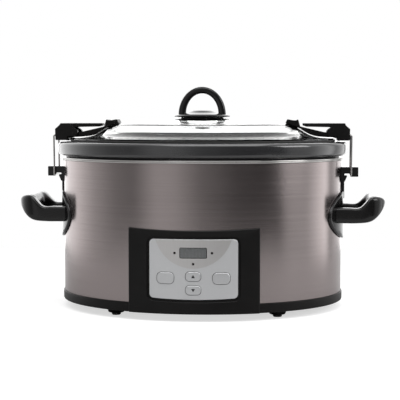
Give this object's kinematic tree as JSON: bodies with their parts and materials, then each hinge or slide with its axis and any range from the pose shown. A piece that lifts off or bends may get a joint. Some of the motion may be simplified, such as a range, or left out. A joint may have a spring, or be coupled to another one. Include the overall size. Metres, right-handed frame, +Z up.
{
  "type": "slow cooker",
  "caption": "Oval slow cooker with a lift-out stoneware crock, domed glass lid, wire-bail lid latches, carry handles and a push-button panel.",
  "frame": {"origin": "on the ground plane under the middle of the oval body", "axes": "+Z up, -Y the front with the control panel, X side to side through the carry handles"},
  "size_m": [0.462, 0.2918, 0.2787],
  "materials": {
    "dark_brushed_steel": "horizontally brushed, dark tinted",
    "bright_trim": "polished",
    "aluminium_pan": "drawn sheet",
    "black_plastic": "fine moulded texture, satin",
    "galvanised_sheet": "plain sheet",
    "screw_steel": "zinc plated",
    "spring_wire": "drawn wire",
    "black_rubber": "matt",
    "heater_mica": "foil over mica",
    "glass_wool": "loose felt",
    "circuit_board": "solder resist",
    "component_black": "moulded",
    "transformer_iron": "laminations",
    "silver_panel": "silver lacquer",
    "brushed_accent": "brushed up and down",
    "display_glass": "clear",
    "display_grey": "unlit liquid crystal",
    "lamp_dark": "unlit lens",
    "silver_button": "silver lacquer, satin",
    "glazed_stoneware": "opaque dark glaze over stoneware, which is close to glass in density",
    "clear_glass": "clear tempered"
  },
  "bodies": {
    "housing": {"base_skirt": "black_plastic", "board_screws": "screw_steel", "bottom_plate": "galvanised_sheet", "bottom_screws": "screw_steel", "control_board": "circuit_board", "control_faceplate": "silver_panel", "control_surround": "black_plastic", "cord_gland": "black_plastic", "display_accent": "brushed_accent", "display_module": "display_grey", "display_window": "display_glass", "handle_screws": "screw_steel", "heater_band": "heater_mica", "heating_pan": "aluminium_pan", "indicator_lenses": "lamp_dark", "insulation_blanket": "glass_wool", "left_catch_plate": "black_plastic", "left_handle": "black_plastic", "outer_wrap": "dark_brushed_steel", "pan_brackets": "galvanised_sheet", "power_board": "circuit_board", "power_relay": "component_black", "right_catch_plate": "black_plastic", "right_handle": "black_plastic", "rubber_feet": "black_rubber", "sensor_cup": "galvanised_sheet", "sensor_spring": "spring_wire", "tact_switches": "component_black", "temperature_sensor": "screw_steel", "thermal_fuse": "screw_steel", "top_trim_ring": "bright_trim", "transformer": "transformer_iron"},
    "crock": {"stoneware_crock": "glazed_stoneware"},
    "lid": {"lid_glass": "clear_glass", "lid_gasket": "black_rubber", "lid_handle": "black_plastic", "lid_handle_seal": "black_rubber", "lid_handle_washer": "screw_steel", "lid_handle_screw": "screw_steel", "left_latch_bracket": "black_plastic", "left_latch_pad": "black_rubber", "left_latch_screw": "screw_steel", "left_lever_pin": "screw_steel", "right_latch_bracket": "black_plastic", "right_latch_pad": "black_rubber", "right_latch_screw": "screw_steel", "right_lever_pin": "screw_steel"},
    "left_lever": {"left_latch_lever": "black_plastic"},
    "left_bail_pivot": {"left_bail_pin": "screw_steel"},
    "left_wire": {"left_bail": "spring_wire"},
    "right_lever": {"right_latch_lever": "black_plastic"},
    "right_bail_pivot": {"right_bail_pin": "screw_steel"},
    "right_wire": {"right_bail": "spring_wire"},
    "select_button": {"select_button": "silver_button"},
    "off_button": {"off_button": "silver_button"},
    "timer_up_button": {"timer_up_button": "silver_button"},
    "timer_down_button": {"timer_down_button": "silver_button"}
  },
  "joints": [
    {"name": "crock_lift", "type": "slide", "parent": "housing", "child": "crock", "axis": [0, 0, 1], "range_m": [0, 0.15]},
    {"name": "lid_lift", "type": "slide", "parent": "crock", "child": "lid", "axis": [0, 0, 1], "range_m": [0, 0.09]},
    {"name": "left_latch_open", "type": "hinge", "parent": "lid", "child": "left_lever", "pos_m": [-0.1815, 0, 0.2175], "axis": [0, -1, 0], "range_deg": [0, 110]},
    {"name": "left_bail_turn", "type": "hinge", "parent": "left_lever", "child": "left_bail_pivot", "pos_m": [-0.1785, 0, 0.2245], "axis": [0, -1, 0], "range_deg": [-99.5, 0]},
    {"name": "left_bail_swing", "type": "hinge", "parent": "left_bail_pivot", "child": "left_wire", "pos_m": [-0.1785, 0, 0.2245], "axis": [0, 1, 0], "range_deg": [0, 72]},
    {"name": "right_latch_open", "type": "hinge", "parent": "lid", "child": "right_lever", "pos_m": [0.1815, 0, 0.2175], "axis": [0, 1, 0], "range_deg": [0, 110]},
    {"name": "right_bail_turn", "type": "hinge", "parent": "right_lever", "child": "right_bail_pivot", "pos_m": [0.1785, 0, 0.2245], "axis": [0, 1, 0], "range_deg": [-99.5, 0]},
    {"name": "right_bail_swing", "type": "hinge", "parent": "right_bail_pivot", "child": "right_wire", "pos_m": [0.1785, 0, 0.2245], "axis": [0, -1, 0], "range_deg": [0, 72]},
    {"name": "select_press", "type": "slide", "parent": "housing", "child": "select_button", "axis": [0, 1, 0], "range_m": [0, 0.001], "stiffness_N_per_m": 300},
    {"name": "off_press", "type": "slide", "parent": "housing", "child": "off_button", "axis": [0, 1, 0], "range_m": [0, 0.001], "stiffness_N_per_m": 300},
    {"name": "timer_up_press", "type": "slide", "parent": "housing", "child": "timer_up_button", "axis": [0, 1, 0], "range_m": [0, 0.001], "stiffness_N_per_m": 300},
    {"name": "timer_down_press", "type": "slide", "parent": "housing", "child": "timer_down_button", "axis": [0, 1, 0], "range_m": [0, 0.001], "stiffness_N_per_m": 300}
  ],
  "couplings": [
    {"joint": "left_bail_turn", "follows": "left_latch_open", "ratio": -0.9},
    {"joint": "right_bail_turn", "follows": "right_latch_open", "ratio": -0.9}
  ]
}
